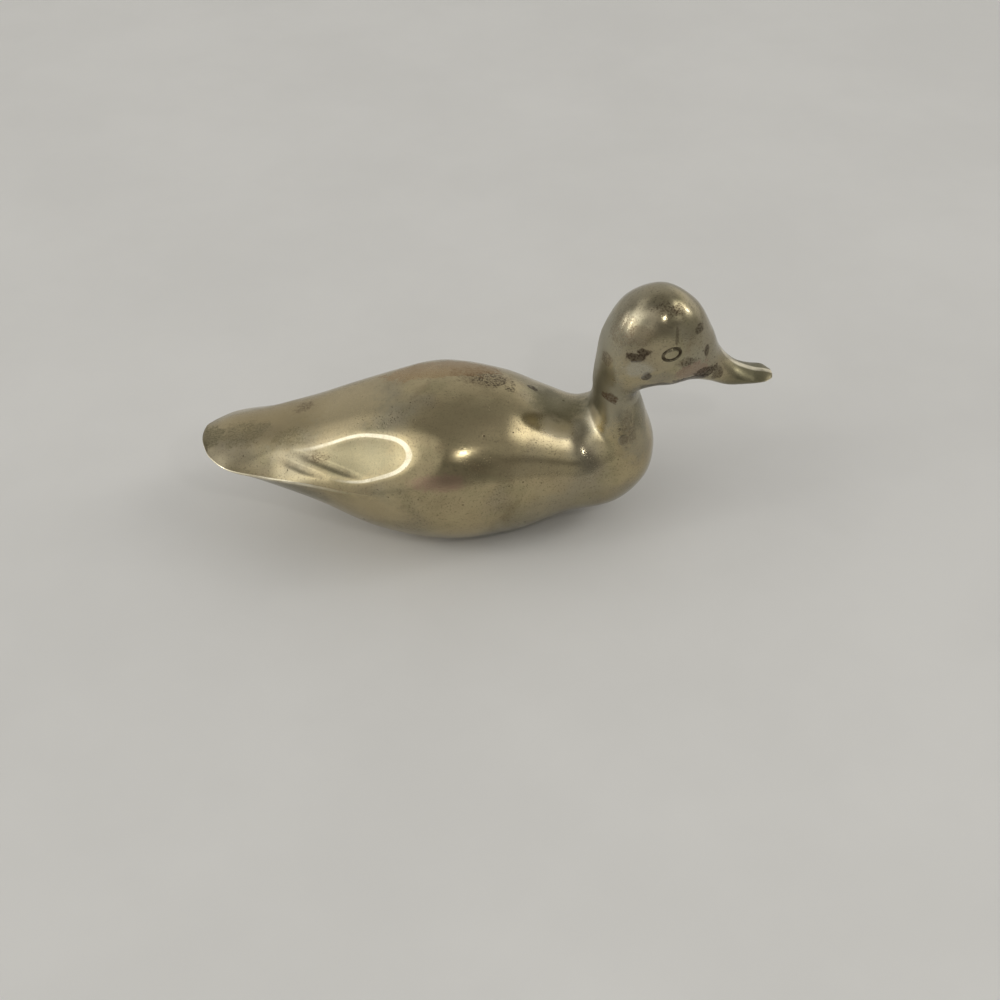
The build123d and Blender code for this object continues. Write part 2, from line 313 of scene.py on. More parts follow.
def scoop_place(point, wall=0.0):
    """Place of a point in the scoop: along, across from its middle line, height of the floor over it."""
    away = point - scoop_middle
    along = away.dot(scoop_along)
    if not SCOOP_STATIONS[0][0] < along < SCOOP_STATIONS[-1][0]:
        return None
    index = max(k for k in range(len(SCOOP_RUNS)) if SCOOP_STATIONS[k][0] <= along)
    t = (along - SCOOP_STATIONS[index][0]) / SCOOP_RUNS[index]
    row = faired(SCOOP_STATIONS, SCOOP_RUNS, SCOOP_SLOPES, index, t)
    across = away.dot(scoop_across) - row[1]
    radius = row[2] + wall
    if abs(across) >= radius:
        return None
    return along, across, row[2] - row[3] - math.sqrt(radius**2 - across**2) - away.dot(scoop_out)


def lip_fade(along, across):
    """How marked the lip is at a place of the scoop, from 0 where it runs out to 1."""
    upper, lower = (eased((along - start) / run) for start, run in (LIP_FADE_UPPER, LIP_FADE_LOWER))
    return lower + (upper - lower) * eased(across / LIP_BLEND + 0.5)


def scooped(point, wall=0.0):
    """Point lowered to the floor of the scoop, or rolled over towards its lip."""
    place = scoop_place(point, wall)
    if place is None:
        return point
    along, across, floor = place
    roll = LIP_ROLL_DEPTH * lip_fade(along, across)
    outside = held(floor / LIP_ROLL_REACH)
    return point + scoop_out * soft_min(-roll * (1 - outside) ** 2, floor - roll, SCOOP_SOFTNESS)


def lip_share(point):
    """How near a point of the plain skin is to the rubbed lip of the scoop, from 0 to 1, for its worn and
    painted shine.
    """
    place = scoop_place(point)
    if place is None:
        return 0.0
    along, across, floor = place
    wear_and_painted_shine = LIP_FAINTEST + (1 - LIP_FAINTEST) * eased((along - LIP_BRIGHT[0]) / LIP_BRIGHT[1])
    return wear_and_painted_shine * lip_fade(along, across) * hump(floor / LIP_SHINE_HEIGHT)


def ridge_share(row, turn, width):
    """How near a point is to a sharp ridge along the widest line of its section, from 0 to 1."""
    gap = abs(turn - 0.5) * skin_per_turn(row) / width
    return hump(gap) * min(1.0, row[6] / FULL_SHARPNESS) ** 2


def groove_share(point):
    """Share of the feather groove's depth at a point of the scoop, 0 away from the grooves."""
    away = point - scoop_middle
    if not GROOVE_HEIGHTS[0] <= away.dot(scoop_out) <= GROOVE_HEIGHTS[1]:
        return 0.0
    place = Vector((away.dot(scoop_along), away.dot(scoop_across)))
    share = 0.0
    for groove in FEATHER_GROOVES:
        start, middle, end = (Vector(p) for p in groove)
        for a, b, first, last in ((start, middle, 0.0, 0.5), (middle, end, 0.5, 1.0)):
            run = b - a
            t = held((place - a).dot(run) / run.length_squared)
            gap = (place - a - run * t).length / (GROOVE_WIDTH / 2)
            fade = math.sin(math.pi * (first + (last - first) * t))
            share = max(share, fade * hump(gap))
    return share


def eye_share(point):
    """Share of the eye ring's depth at a point of the right side of the head."""
    away = point - EYE
    if abs(away.x) > EYE_LENGTH or abs(away.z) > EYE_LENGTH or point.y > 0:
        return 0.0
    long = away.x * math.cos(EYE_TILT) + away.z * math.sin(EYE_TILT)
    high = away.z * math.cos(EYE_TILT) - away.x * math.sin(EYE_TILT)
    ring = math.hypot(long / (EYE_LENGTH / 2), high / (EYE_HEIGHT / 2))
    gap = (ring - 1) * (EYE_LENGTH + EYE_HEIGHT) / 4 / (EYE_GROOVE_WIDTH / 2)
    return max(0.0, 1 - gap**2) ** EYE_GROOVE_FLANK


def places_along(first, last, steps):
    """Places from one station to another. The steps give the spacing in millimetres per stretch."""
    places = [float(first)]
    for index in range(first, last):
        count = max(2, math.ceil(BODY_RUNS[index] / steps.get(index, steps["other"])))
        places += [index + k / count for k in range(1, count + 1)]
    return places


def turns_around(*stretches):
    """Turns from the back line to the belly line, as stretches of (last turn, number of steps)."""
    turns = [0.0]
    for last, count in stretches:
        first = turns[-1]
        turns += [first + (last - first) * k / count for k in range(1, count + 1)]
    return turns


def placed_grid(bm, rows, columns, place):
    """Grid of vertices, each put where place(row, column) says. Returns the vertices by row."""
    made = bmesh.ops.create_grid(bm, x_segments=rows - 1, y_segments=columns - 1, size=1.0)["verts"]
    ordered = [[None] * columns for row in range(rows)]
    for vert in made:
        row = round((vert.co.x + 1) / 2 * (rows - 1))
        column = round((vert.co.y + 1) / 2 * (columns - 1))
        ordered[row][column] = vert
    for row in range(rows):
        for column in range(columns):
            ordered[row][column].co = place(row, column) * MM
    return ordered


def finished_piece(bm, name, node, material):
    """Turns a bmesh into a piece that stands for a CAD node."""
    bmesh.ops.remove_doubles(bm, verts=bm.verts[:], dist=MERGE_GAP)
    bmesh.ops.dissolve_degenerate(bm, edges=bm.edges[:], dist=SHORTEST_EDGE)
    bmesh.ops.recalc_face_normals(bm, faces=bm.faces[:])
    for face in bm.faces:
        face.smooth = True
    for edge in bm.edges:
        edge.smooth = edge.calc_face_angle(0.0) < CREASE_ANGLE
    mesh = bpy.data.meshes.new(name)
    bm.to_mesh(mesh)
    bm.free()
    mesh.materials.append(material)
    piece = bpy.data.objects.new(name, mesh)
    bpy.context.scene.collection.objects.link(piece)
    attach(piece, "root")
    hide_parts(node)
    return piece


neck_row = STATIONS[NECK]
neck_back = Vector((neck_row[0], 0, neck_row[1]))
neck_belly = Vector((neck_row[2], 0, neck_row[3]))
neck_middle = (neck_back + neck_belly) / 2
neck_up = (neck_belly - neck_back).cross(Vector((0, 1, 0))).normalized()
tail_middle = Vector((STATIONS[0][0], 0, (STATIONS[0][1] + STATIONS[0][3]) / 2))
bill_middle = Vector((STATIONS[-1][0] + STATIONS[-1][2], 0, STATIONS[-1][1] + STATIONS[-1][3])) / 2


def tail_capped(point, cap):
    """Point of the tail's end section drawn in to the given share and moved out to round the end."""
    if cap == 1.0:
        return point
    drawn = tail_middle + (point - tail_middle) * cap
    drawn.x -= TAIL_EDGE * (1 - cap**2)
    return drawn


def body_skin_point(row, turn):
    """Point of the right body skin with its scoop and its flat foot."""
    point = scooped(skin_point(row, turn, TAIL_RIDGE_WEAR))
    point.z = -soft_min(-point.z, 0.0, FOOT_SOFTNESS)
    return point


def half_shell(name, node, side, material):
    """One hollow half of the body; the side is -1 for the right and 1 for the left."""
    bm = bmesh.new()
    # The grime layer marks the feather grooves, darkened as dirt and as painted shade
    grime_and_shade = bm.verts.layers.float.new("grime_and_shade")
    # The wear layer holds the rubbed brass, which also paints highlights along the scoop's lip and the tail
    # ridge
    wear = bm.verts.layers.float.new("wear")
    places = places_along(0, NECK, BODY_STEPS)
    places[-1] = NECK_BELOW
    rows = [(0.0, share) for share in CAP_SHARES] + [(place, 1.0) for place in places]
    turns = turns_around(*BODY_TURNS)
    stations = [station_at(place) for place, cap in rows]
    seam = BODY_SEAM_WIDTH / 2
    grooved = {}
    rubbed_and_painted_shine = {}

    def outer(row, column):
        point = body_skin_point(stations[row], turns[column])
        share = groove_share(point)
        grooved[row, column] = share
        plain = skin_point(stations[row], turns[column], TAIL_RIDGE_WEAR)
        ridge = ridge_share(stations[row], turns[column], RIDGE_SHINE_WIDTH)
        # Lighter rubbed brass: partly real wear, partly a painted highlight
        rubbed_and_painted_shine[row, column] = max(lip_share(plain) * (1 - share), ridge) * SIDE_WEAR_AND_SHINE[side]
        point -= scoop_out * GROOVE_DEPTH * share
        point = tail_capped(point, rows[row][1])
        return Vector((point.x, side * max(-point.y, seam), point.z))

    skin = placed_grid(bm, len(rows), len(turns), outer)
    for row, column in grooved:
        skin[row][column][grime_and_shade] = grooved[row, column]
        skin[row][column][wear] = rubbed_and_painted_shine[row, column]
    bm.faces.new(skin[-1])
    bmesh.ops.remove_doubles(bm, verts=bm.verts[:], dist=MERGE_GAP)

    hollow_places = places_along(FIRST_HOLLOW, LAST_HOLLOW, HOLLOW_STEPS)
    hollow_turns = turns_around(*HOLLOW_TURNS)
    hollow_stations = [station_at(place) for place in hollow_places]

    def inner(row, column):
        point = scooped(section_point(hollow_stations[row], hollow_turns[column], WALL), WALL)
        return Vector((point.x, side * max(-point.y, seam), max(point.z, WALL)))

    lining = placed_grid(bm, len(hollow_places), len(hollow_turns), inner)
    bm.faces.new(lining[0])
    bm.faces.new(lining[-1])
    rim = [edge for edge in bm.edges if edge.is_boundary]
    bmesh.ops.triangle_fill(bm, edges=rim, use_beauty=True, normal=(0, -side, 0))
    return finished_piece(bm, name, node, material)


def body_seam_strip(material):
    """Strip of brazing metal between the two halves, round the back, the tail and the belly."""
    bm = bmesh.new()
    places = places_along(0, NECK, SEAM_STEPS)
    places[-1] = NECK_BELOW
    back = [(place, 0.0, 1.0) for place in reversed(places)]
    tail = [(0.0, 0.0, cap) for cap in reversed(CAP_SHARES)] + [(0.0, 1.0, cap) for cap in CAP_SHARES]
    belly = [(place, 1.0, 1.0) for place in places]
    line = back + tail + belly
    seam = BODY_SEAM_WIDTH / 2
    top = [(-seam, 0.0), (0.0, 0.0), (seam, 0.0)]
    corners = top + [(seam, BODY_SEAM_DEPTH), (-seam, BODY_SEAM_DEPTH), (-seam, 0.0)]

    def placed(row, column):
        place, turn, cap = line[row]
        y, inset = corners[column]
        point = body_skin_point(station_at(place), turn)
        other = body_skin_point(station_at(place), 1.0 - turn)
        inwards = (other - point).normalized() if cap == 1.0 else Vector((1, 0, 0))
        point = tail_capped(point, cap) + inwards * inset
        return Vector((point.x, y, point.z))

    grid = placed_grid(bm, len(line), len(corners), placed)
    bm.faces.new(grid[0][:-1])
    bm.faces.new(grid[-1][:-1])
    return finished_piece(bm, "body_seam_strip", "body_seam", material)


def head_casting(material):
    """Head, neck and bill, with the struck eye rings and the spigot below."""
    bm = bmesh.new()
    # The grime layer marks the eye rings, darkened as dirt and as painted shade
    grime_and_shade = bm.verts.layers.float.new("grime_and_shade")
    # The wear layer holds the rubbed brass, which also paints highlight lines along the culmen and the
    # bill's rim
    wear = bm.verts.layers.float.new("wear")
    places = places_along(NECK, BILL_TIP, HEAD_STEPS)
    places[0] = NECK_ABOVE
    rows = [(place, 1.0) for place in places] + [(float(BILL_TIP), cap) for cap in reversed(CAP_SHARES)]
    half = turns_around(*HEAD_TURNS)
    round_turns = [(turn, 1) for turn in half] + [(turn, -1) for turn in reversed(half[:-1])]
    stations = [station_at(place) for place, cap in rows]
    struck = {}
    rubbed_and_painted_shine = {}

    def placed(row, column):
        place, cap = rows[row]
        turn, mirrored = round_turns[column]
        point = skin_point(stations[row], turn, BILL_RIDGE_WEAR)
        if place > CULMEN_PLACE and turn < 0.5:
            from_middle = min(1.0, math.hypot(point.y, CULMEN_WEAR) / stations[row][4])
            rise = CULMEN_RISE * eased((place - CULMEN_PLACE) / CULMEN_RISE_RUN)
            point.z += rise * (1 - from_middle) ** 2
        share = eye_share(point)
        struck[row, column] = share
        towards_tip = held((place - CULMEN_PLACE) / CULMEN_NARROWING_RUN)
        at_root, at_tip = CULMEN_SHINE_WIDTHS
        culmen = hump(point.y / (at_root + (at_tip - at_root) * towards_tip)) if turn < 0.5 else 0.0
        culmen *= held((place - CULMEN_SHINE_PLACE) / CULMEN_SHINE_RUN)
        rim = ridge_share(stations[row], turn, BILL_RIM_SHINE_WIDTH) * held(place - BILL_RIM_PLACE)
        # Lighter rubbed brass: partly real wear, partly a painted highlight
        rubbed_and_painted_shine[row, column] = max(culmen, rim)
        point.y += EYE_GROOVE_DEPTH * share
        if cap < 1.0:
            point = bill_middle + (point - bill_middle) * cap
            point.x += BILL_EDGE * (1 - cap**4)
        point.y *= mirrored
        return point

    skin = placed_grid(bm, len(rows), len(round_turns), placed)
    for row, column in struck:
        skin[row][column][grime_and_shade] = struck[row, column]
        skin[row][column][wear] = rubbed_and_painted_shine[row, column]
    seat = bm.faces.new(skin[0][:-1])
    bmesh.ops.remove_doubles(bm, verts=bm.verts[:], dist=MERGE_GAP)
    bmesh.ops.inset_individual(bm, faces=[seat], thickness=SEAT_INSET * MM)
    middle = (neck_middle + neck_up * NECK_SEAM_THICKNESS / 2) * MM
    for vert in seat.verts:
        vert.co = middle + (vert.co - middle).normalized() * SPIGOT_RADIUS * MM
    foot = bmesh.ops.extrude_discrete_faces(bm, faces=[seat])["faces"][0]
    bmesh.ops.translate(bm, verts=foot.verts[:], vec=-neck_up * (SPIGOT_LENGTH + NECK_SEAM_THICKNESS) * MM)
    return finished_piece(bm, "head_casting", "head", material)


def neck_seam_ring(material):
    """Ring of brazing metal between the body's neck and the head."""
    bm = bmesh.new()
    half = turns_around(*NECK_RING_TURNS)
    round_turns = [(turn, 1) for turn in half] + [(turn, -1) for turn in reversed(half[:-1])]
    lift = NECK_SEAM_THICKNESS / 2
    edges = {-lift: station_at(NECK_BELOW), lift: station_at(NECK_ABOVE)}
    corners = [(-lift, False), (lift, False), (lift, True), (-lift, True), (-lift, False)]

    def placed(row, column):
        height, bore = corners[row]
        turn, mirrored = round_turns[column]
        point = section_point(edges[height], turn)
        if bore:
            outwards = (section_point(neck_row, turn) - neck_middle).normalized()
            point = neck_middle + outwards * (SPIGOT_RADIUS + SPIGOT_CLEARANCE) + neck_up * height
        point.y *= mirrored
        return point

    placed_grid(bm, len(corners), len(round_turns), placed)
    return finished_piece(bm, "neck_seam_ring", "neck_seam", material)


def plug_disc(shell, material):
    """Round plug dressed to the skin of the right breast."""
    skin = BVHTree.FromObject(shell, bpy.context.evaluated_depsgraph_get())
    bm = bmesh.new()
    turn = PLUG_OUT.to_track_quat("Z", "Y").to_matrix().to_4x4()
    seated = Matrix.Translation(PLUG * MM) @ turn
    bmesh.ops.create_circle(
        bm, cap_ends=True, segments=PLUG_SEGMENTS, radius=PLUG_RADIUS * MM, matrix=seated
    )
    face = bm.faces[:][0]
    for width in PLUG_RINGS:
        bmesh.ops.inset_individual(bm, faces=[face], thickness=width * MM)
    bmesh.ops.poke(bm, faces=[face])
    for vert in bm.verts:
        from_middle = (vert.co / MM - PLUG).cross(PLUG_OUT).length
        start = vert.co + PLUG_OUT * PLUG_PROBE * MM
        hit = skin.ray_cast(start, -PLUG_OUT)[0]
        worn_edge = max(0.0, (from_middle - (PLUG_RADIUS - PLUG_EDGE_WIDTH)) / PLUG_EDGE_WIDTH)
        vert.co = hit + PLUG_OUT * (PLUG_STAND - PLUG_EDGE_DROP * worn_edge) * MM
    bmesh.ops.recalc_face_normals(bm, faces=bm.faces[:])
    if bm.faces[:][0].normal.dot(PLUG_OUT) < 0:
        bmesh.ops.reverse_faces(bm, faces=bm.faces[:])
    bmesh.ops.solidify(bm, geom=bm.faces[:], thickness=PLUG_LENGTH * MM)
    return finished_piece(bm, "plug_disc", "breast_plug", material)


def feed(tree, value, socket):
    """Links an output to a socket, or sets the socket's value."""
    if isinstance(value, bpy.types.NodeSocket):
        tree.links.new(value, socket)
    else:
        socket.default_value = value


def noise(tree, place, scale, detail=3.0, rough=0.5, twist=0.0):
    """Noise whose marks are about one over the scale long, in metres."""
    made = tree.nodes.new("ShaderNodeTexNoise")
    feed(tree, place, made.inputs["Vector"])
    made.inputs["Scale"].default_value = scale
    made.inputs["Detail"].default_value = detail
    made.inputs["Roughness"].default_value = rough
    made.inputs["Distortion"].default_value = twist
    return made.outputs["Fac"]


def ranged(tree, value, low, high, to_low=0.0, to_high=1.0):
    """Value taken smoothly from one range to another."""
    made = tree.nodes.new("ShaderNodeMapRange")
    made.interpolation_type = "SMOOTHSTEP"
    feed(tree, value, made.inputs["Value"])
    feed(tree, low, made.inputs["From Min"])
    feed(tree, high, made.inputs["From Max"])
    feed(tree, to_low, made.inputs["To Min"])
    feed(tree, to_high, made.inputs["To Max"])
    return made.outputs["Result"]


def sums(tree, operation, first, second):
    """One arithmetic step."""
    made = tree.nodes.new("ShaderNodeMath")
    made.operation = operation
    feed(tree, first, made.inputs[0])
    feed(tree, second, made.inputs[1])
    return made.outputs[0]


def blended(tree, share, first, second):
    """Colour between two colours."""
    made = tree.nodes.new("ShaderNodeMix")
    made.data_type = "RGBA"
    feed(tree, share, made.inputs[0])
    feed(tree, first, made.inputs[6])
    feed(tree, second, made.inputs[7])
    return made.outputs[2]


def new_group(name, inputs, outputs):
    """Empty node group with its sockets."""
    group = bpy.data.node_groups.new(name, "ShaderNodeTree")
    for socket, kind in inputs:
        group.interface.new_socket(socket, in_out="INPUT", socket_type=kind)
    for socket, kind in outputs:
        group.interface.new_socket(socket, in_out="OUTPUT", socket_type=kind)
    return group, group.nodes.new("NodeGroupInput"), group.nodes.new("NodeGroupOutput")


GREY_BRASS = (0.35, 0.322, 0.236, 1)
WARM_BRASS = (0.47, 0.395, 0.235, 1)
OLIVE_FILM = (0.29, 0.265, 0.15, 1)
BROWN_TARNISH = (0.24, 0.175, 0.105, 1)
# Dark dirt of the pits and dust, also painted shade in the grooves and eye rings
DIRT_AND_GROOVE_SHADE = (0.05, 0.037, 0.024, 1)
# Pale rubbed brass, also a painted highlight on the lip, the ridges and the culmen
RUBBED_BRASS_AND_PAINTED_SHINE = (0.78, 0.72, 0.56, 1)

# Layers of round pits: cells per metre, largest pit as a share of a cell, share of cells without one
PIT_LAYERS = ((210.0, 0.15, 0.80), (620.0, 0.22, 0.93))
PIT_CORE = 0.45
CLUSTER_CELLS = 1150.0
CLUSTER_DARKNESS = 0.75
DUST_DARKNESS = 0.45
FILM_DULLING = 0.12
PIT_DULLING = 0.35
GRIME_DULLING = 0.25
RUBBED_POLISH = 0.04

# Relief of the surface: its full height in millimetres, its strength, and shares of the height
RELIEF_HEIGHT = 0.25
RELIEF_STRENGTH = 0.5
SWELL_HEIGHT = 0.5
WIPE_HEIGHT = 0.08
DUST_DEPTH = 0.06
PIT_DEPTH = 0.35
WIPE_STRETCH = (0.12, 1.0, 1.0)  # wiping marks are drawn out along the duck


def pits_group():
    """Small dark casting pits, scattered and in clusters."""
    group, given, result = new_group(
        "casting_pits", [("Amount", "NodeSocketFloat")], [("Mask", "NodeSocketFloat")]
    )
    place = group.nodes.new("ShaderNodeTexCoord").outputs["Object"]
    masks = []
    for scale, size, bare in PIT_LAYERS:
        cells = group.nodes.new("ShaderNodeTexVoronoi")
        feed(group, place, cells.inputs["Vector"])
        cells.inputs["Scale"].default_value = scale
        chosen = group.nodes.new("ShaderNodeSeparateColor")
        feed(group, cells.outputs["Color"], chosen.inputs[0])
        rare = sums(group, "GREATER_THAN", chosen.outputs[0], bare)
        wide = ranged(group, chosen.outputs[1], 0.0, 1.0, size / 2, size)
        core = sums(group, "MULTIPLY", wide, PIT_CORE)
        dot = ranged(group, cells.outputs["Distance"], core, wide, 1.0, 0.0)
        masks.append(sums(group, "MULTIPLY", dot, rare))
    cells = group.nodes.new("ShaderNodeTexVoronoi")
    feed(group, place, cells.inputs["Vector"])
    cells.inputs["Scale"].default_value = CLUSTER_CELLS
    crowd = ranged(group, noise(group, place, scale=48.0, detail=4.0, rough=0.6), 0.56, 0.68)
    dot = ranged(group, cells.outputs["Distance"], 0.12, 0.34, 1.0, 0.0)
    masks.append(sums(group, "MULTIPLY", sums(group, "MULTIPLY", dot, crowd), CLUSTER_DARKNESS))
    total = sums(group, "MAXIMUM", sums(group, "MAXIMUM", masks[0], masks[1]), masks[2])
    feed(group, sums(group, "MULTIPLY", total, given.outputs["Amount"]), result.inputs["Mask"])
    return group


def stain_and_painted_light_group():
    """One ragged mark at a place on the metal, for stains and for painted light and shade."""
    group, given, result = new_group(
        "stain_and_painted_light",
        [
            ("Centre", "NodeSocketVector"),
            ("Reach", "NodeSocketVector"),
            ("Ragged", "NodeSocketFloat"),
            ("Broken", "NodeSocketFloat"),
            ("Edge", "NodeSocketFloat"),
        ],
        [("Mask", "NodeSocketFloat")],
    )
    place = group.nodes.new("ShaderNodeTexCoord").outputs["Object"]
    away = group.nodes.new("ShaderNodeVectorMath")
    away.operation = "SUBTRACT"
    feed(group, place, away.inputs[0])
    feed(group, given.outputs["Centre"], away.inputs[1])
    scaled = group.nodes.new("ShaderNodeVectorMath")
    scaled.operation = "DIVIDE"
    feed(group, away.outputs[0], scaled.inputs[0])
    feed(group, given.outputs["Reach"], scaled.inputs[1])
    distance = group.nodes.new("ShaderNodeVectorMath")
    distance.operation = "LENGTH"
    feed(group, scaled.outputs[0], distance.inputs[0])
    edge = sums(group, "SUBTRACT", noise(group, place, scale=330.0, detail=7.0, rough=0.72), 0.5)
    edge = sums(group, "MULTIPLY", edge, given.outputs["Ragged"])
    ragged = sums(group, "ADD", distance.outputs["Value"], edge)
    gaps = ranged(group, noise(group, place, scale=1400.0, detail=4.0, rough=0.65), 0.57, 0.46)
    kept = sums(group, "SUBTRACT", 1.0, sums(group, "MULTIPLY", gaps, given.outputs["Broken"]))
    whole = ranged(group, ragged, given.outputs["Edge"], 1.0, 1.0, 0.0)
    feed(group, sums(group, "MULTIPLY", whole, kept), result.inputs["Mask"])
    return group


def brass_group(pits):
    """Aged polished brass: colour, roughness and height over the surface."""
    group, given, result = new_group(
        "aged_brass",
        [("Greyness", "NodeSocketFloat"), ("Pitting", "NodeSocketFloat"), ("Tarnish", "NodeSocketFloat")],
        [("Colour", "NodeSocketColor"), ("Roughness", "NodeSocketFloat"), ("Height", "NodeSocketFloat")],
    )
    place = group.nodes.new("ShaderNodeTexCoord").outputs["Object"]
    broad = noise(group, place, scale=24.0, detail=3.0, rough=0.55)
    cloud = noise(group, place, scale=95.0, detail=5.0, rough=0.6, twist=0.4)
    grain = noise(group, place, scale=1500.0, detail=3.0, rough=0.6)
    wiped = group.nodes.new("ShaderNodeVectorMath")
    wiped.operation = "MULTIPLY"
    feed(group, place, wiped.inputs[0])
    wiped.inputs[1].default_value = WIPE_STRETCH
    wipe = noise(group, wiped.outputs[0], scale=700.0, detail=3.0, rough=0.6)
    grey = sums(group, "ADD", ranged(group, broad, 0.36, 0.66), given.outputs["Greyness"])
    colour = blended(group, ranged(group, grey, 0.0, 1.0), WARM_BRASS, GREY_BRASS)
    streaks = noise(group, place, scale=42.0, detail=7.0, rough=0.66, twist=0.5)
    olive = ranged(group, streaks, 0.46, 0.68, to_high=0.6)
    colour = blended(group, olive, colour, OLIVE_FILM)
    shade = ranged(group, cloud, 0.3, 0.75, to_high=0.3)
    colour = blended(group, shade, colour, BROWN_TARNISH)
    patches = noise(group, place, scale=40.0, detail=6.0, rough=0.62, twist=0.7)
    brown = sums(group, "MULTIPLY", ranged(group, patches, 0.55, 0.74), given.outputs["Tarnish"])
    colour = blended(group, brown, colour, BROWN_TARNISH)
    pit = group.nodes.new("ShaderNodeGroup")
    pit.node_tree = pits
    feed(group, given.outputs["Pitting"], pit.inputs["Amount"])
    dust = sums(group, "MULTIPLY", ranged(group, grain, 0.52, 0.72), given.outputs["Pitting"])
    colour = blended(group, sums(group, "MULTIPLY", dust, DUST_DARKNESS), colour, DIRT_AND_GROOVE_SHADE)
    colour = blended(group, pit.outputs["Mask"], colour, DIRT_AND_GROOVE_SHADE)
    rough = ranged(group, cloud, 0.25, 0.8, 0.10, 0.19)
    rough = sums(group, "ADD", rough, ranged(group, wipe, 0.3, 0.7, to_high=0.05))
    rough = sums(group, "ADD", rough, sums(group, "MULTIPLY", brown, FILM_DULLING))
    rough = sums(group, "ADD", rough, sums(group, "MULTIPLY", pit.outputs["Mask"], PIT_DULLING))
    swell = noise(group, place, scale=60.0, detail=2.0, rough=0.4)
    height = sums(group, "MULTIPLY", swell, SWELL_HEIGHT)
    height = sums(group, "ADD", height, sums(group, "MULTIPLY", wipe, WIPE_HEIGHT))
    height = sums(group, "SUBTRACT", height, sums(group, "MULTIPLY", dust, DUST_DEPTH))
    height = sums(group, "SUBTRACT", height, sums(group, "MULTIPLY", pit.outputs["Mask"], PIT_DEPTH))
    feed(group, colour, result.inputs["Colour"])
    feed(group, rough, result.inputs["Roughness"])
    feed(group, height, result.inputs["Height"])
    return group


def brass_material(name, groups, greyness, pitting, tarnish, stains_and_painted_light, grime_and_shade_share=0.0):
    """Aged brass of one casting, with its own stains and painted light and shade, the grime and painted
    shade in its grooves, and the rubbed brass and painted highlights on its edges.
    """
    material = bpy.data.materials.new(name)
    material.use_nodes = True
    tree = material.node_tree
    shader = tree.nodes["Principled BSDF"]
    brass = tree.nodes.new("ShaderNodeGroup")
    brass.node_tree = groups["brass"]
    brass.inputs["Greyness"].default_value = greyness
    brass.inputs["Pitting"].default_value = pitting
    brass.inputs["Tarnish"].default_value = tarnish
    colour = brass.outputs["Colour"]
    rough = brass.outputs["Roughness"]
    for mark in stains_and_painted_light:
        spot = tree.nodes.new("ShaderNodeGroup")
        spot.node_tree = groups["stain_and_painted_light"]
        spot.inputs["Centre"].default_value = [c * MM for c in mark["centre"]]
        spot.inputs["Reach"].default_value = [r * MM for r in mark["reach"]]
        spot.inputs["Ragged"].default_value = mark["ragged"]
        spot.inputs["Broken"].default_value = mark["broken"]
        spot.inputs["Edge"].default_value = mark["edge"]
        mask = sums(tree, "MULTIPLY", spot.outputs["Mask"], mark["strength"])
        colour = blended(tree, mask, colour, mark["tint"])
        rough = sums(tree, "ADD", rough, sums(tree, "MULTIPLY", spot.outputs["Mask"], mark["dulling"]))
    # Grime in the grooves and eye rings: partly real dirt, partly painted shade in the hollows
    if grime_and_shade_share:
        grime_and_shade = tree.nodes.new("ShaderNodeAttribute")
        grime_and_shade.attribute_name = "grime_and_shade"
        place = tree.nodes.new("ShaderNodeTexCoord").outputs["Object"]
        patchy = ranged(tree, noise(tree, place, scale=350.0, detail=4.0, rough=0.6), 0.3, 0.65, 0.55, 1.0)
        mask = sums(tree, "MULTIPLY", ranged(tree, grime_and_shade.outputs["Fac"], 0.05, 0.6), patchy)
        mask = sums(tree, "MULTIPLY", mask, grime_and_shade_share)
        colour = blended(tree, mask, colour, DIRT_AND_GROOVE_SHADE)
        rough = sums(tree, "ADD", rough, sums(tree, "MULTIPLY", mask, GRIME_DULLING))
    # Rubbed brass on the lip, the ridges and the culmen: partly real wear, partly a painted highlight
    rubbed_and_painted_shine = tree.nodes.new("ShaderNodeAttribute")
    rubbed_and_painted_shine.attribute_name = "wear"
    place = tree.nodes.new("ShaderNodeTexCoord").outputs["Object"]
    patchy = ranged(tree, noise(tree, place, scale=260.0, detail=4.0, rough=0.6), 0.3, 0.6, 0.5, 0.95)
    wear_and_painted_shine = sums(tree, "MULTIPLY", ranged(tree, rubbed_and_painted_shine.outputs["Fac"], 0.1, 0.7), patchy)
    colour = blended(tree, wear_and_painted_shine, colour, RUBBED_BRASS_AND_PAINTED_SHINE)
    rough = sums(tree, "SUBTRACT", rough, sums(tree, "MULTIPLY", wear_and_painted_shine, RUBBED_POLISH))
    bump = tree.nodes.new("ShaderNodeBump")
    bump.inputs["Strength"].default_value = RELIEF_STRENGTH
    bump.inputs["Distance"].default_value = RELIEF_HEIGHT * MM
    feed(tree, brass.outputs["Height"], bump.inputs["Height"])
    shader.inputs["Metallic"].default_value = 1.0
    feed(tree, colour, shader.inputs["Base Color"])
    feed(tree, rough, shader.inputs["Roughness"])
    feed(tree, bump.outputs["Normal"], shader.inputs["Normal"])
    return material


groups = {"stain_and_painted_light": stain_and_painted_light_group(), "brass": brass_group(pits_group())}

# Tints of the stains, films and painted light and shade
# Black stains, also painted shade along and under the jaw
BLACK_STAIN_AND_SHADE = (0.05, 0.034, 0.022, 1)
BROWN_STAIN = (0.13, 0.088, 0.055, 1)
ORANGE_STAIN = (0.36, 0.21, 0.095, 1)
ROSE_STAIN = (0.30, 0.215, 0.16, 1)
# Olive stains, also painted shade behind the neck and under the jaw
OLIVE_STAIN_AND_SHADE = (0.16, 0.145, 0.085, 1)
BILL_FILM = (0.165, 0.154, 0.095, 1)
PALE_FILM = (0.36, 0.345, 0.275, 1)
NECK_FILM = (0.31, 0.287, 0.212, 1)
# Painted highlight colour for the shoulder and the neck root
PAINTED_SHOULDER_GLOW = (0.7, 0.63, 0.47, 1)
